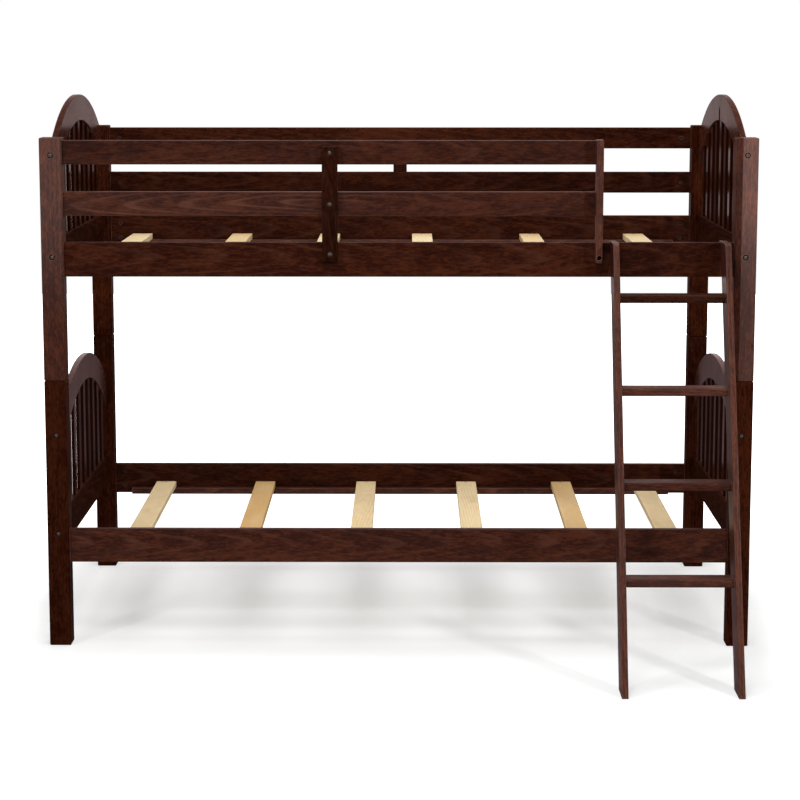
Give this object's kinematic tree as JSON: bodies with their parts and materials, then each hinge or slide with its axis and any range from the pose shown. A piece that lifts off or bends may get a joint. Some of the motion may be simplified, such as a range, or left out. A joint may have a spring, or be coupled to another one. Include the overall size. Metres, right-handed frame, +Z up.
{
  "type": "bunk bed with ladder",
  "caption": "Wooden bunk bed with square posts, arched slatted end panels, board guard rails, slatted mattress bases and a leaning hook-on ladder.",
  "frame": {"origin": "on the floor, at the bottom centre of the box round the whole part, ladder included", "axes": "+X along the bed towards the ladder's end, +Y towards the back side, +Z up"},
  "size_m": [2.024, 1.5946, 1.577],
  "materials": {
    "stained_wood": "dark brown stained and lacquered, satin",
    "pine": "bare planed softwood",
    "black_steel": "black oxide, satin",
    "zinc_steel": "zinc plated"
  },
  "bodies": {
    "lower_bunk": {"lower_post_front_left": "stained_wood", "lower_post_front_right": "stained_wood", "lower_side_rail_front": "stained_wood", "lower_ledger_front": "stained_wood", "lower_post_back_left": "stained_wood", "lower_post_back_right": "stained_wood", "lower_side_rail_back": "stained_wood", "lower_ledger_back": "stained_wood", "lower_arch_rail_left": "stained_wood", "lower_bottom_rail_left": "stained_wood", "lower_spindles_left": "stained_wood", "lower_arch_rail_right": "stained_wood", "lower_bottom_rail_right": "stained_wood", "lower_spindles_right": "stained_wood", "lower_slats": "pine", "lower_frame_bolts": "black_steel", "lower_barrel_nuts": "zinc_steel", "lower_ledger_screws": "zinc_steel", "lower_slat_screws": "zinc_steel", "bunk_pins": "zinc_steel"},
    "upper_bunk": {"upper_post_front_left": "stained_wood", "upper_post_front_right": "stained_wood", "upper_side_rail_front": "stained_wood", "upper_ledger_front": "stained_wood", "upper_post_back_left": "stained_wood", "upper_post_back_right": "stained_wood", "upper_side_rail_back": "stained_wood", "upper_ledger_back": "stained_wood", "upper_arch_rail_left": "stained_wood", "upper_bottom_rail_left": "stained_wood", "upper_spindles_left": "stained_wood", "upper_arch_rail_right": "stained_wood", "upper_bottom_rail_right": "stained_wood", "upper_spindles_right": "stained_wood", "upper_slats": "pine", "upper_frame_bolts": "black_steel", "upper_barrel_nuts": "zinc_steel", "upper_ledger_screws": "zinc_steel", "upper_slat_screws": "zinc_steel", "guard_board_low_front": "stained_wood", "guard_board_low_back": "stained_wood", "guard_board_top_front": "stained_wood", "guard_board_top_back": "stained_wood", "guard_strap_front": "stained_wood", "guard_strap_back": "stained_wood", "guard_end_upright": "stained_wood", "guard_screws": "black_steel"},
    "ladder": {"ladder_stile_left": "stained_wood", "ladder_stile_right": "stained_wood", "ladder_hook_left": "black_steel", "ladder_hook_right": "black_steel", "ladder_rung_1": "stained_wood", "ladder_rung_2": "stained_wood", "ladder_rung_3": "stained_wood", "ladder_rung_4": "stained_wood", "ladder_screws": "black_steel", "ladder_hook_screws": "black_steel"}
  },
  "joints": [
    {"name": "upper_bunk_lift", "type": "slide", "parent": "lower_bunk", "child": "upper_bunk", "axis": [0, 0, 1], "range_m": [0, 0.06]},
    {"name": "ladder_lift", "type": "slide", "parent": "upper_bunk", "child": "ladder", "axis": [0, 0, 1], "range_m": [0, 0.045]}
  ]
}
